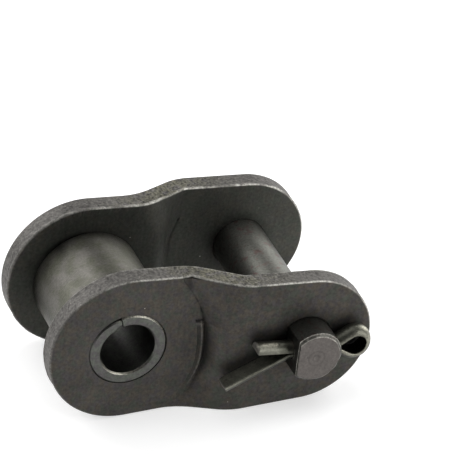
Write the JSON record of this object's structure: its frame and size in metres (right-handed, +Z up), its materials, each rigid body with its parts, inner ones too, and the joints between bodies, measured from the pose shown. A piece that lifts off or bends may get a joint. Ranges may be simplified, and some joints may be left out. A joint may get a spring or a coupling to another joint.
{
  "type": "offset link",
  "caption": "Cranked offset link for roller chain: bent steel plates, a curled bush with a free roller at the narrow end, a flatted pin locked by a cotter pin at the wide end.",
  "frame": {"origin": "middle of the bush bore, on the link's middle plane", "axes": "+X along the pitch line from the bush to the pin, +Y along the pin axis away from the cotter pin, +Z up across the plates"},
  "size_m": [0.047, 0.0346, 0.023],
  "materials": {
    "plate_steel": "dark shot-peened steel with lighter punched edges",
    "bush_steel": "satin ground steel",
    "roller_steel": "satin turned steel",
    "pin_steel": "satin hardened steel with a worn rim",
    "cotter_steel": "dull drawn wire"
  },
  "bodies": {
    "link": {"front_plate": "plate_steel", "rear_plate": "plate_steel", "bush": "bush_steel", "pin": "pin_steel", "cotter_pin": "cotter_steel"},
    "roller": {"roller": "roller_steel"}
  },
  "joints": [
    {"name": "roller_spin", "type": "hinge", "parent": "link", "child": "roller", "pos_m": [0, 0, 0], "axis": [0, 1, 0], "continuous": true}
  ]
}
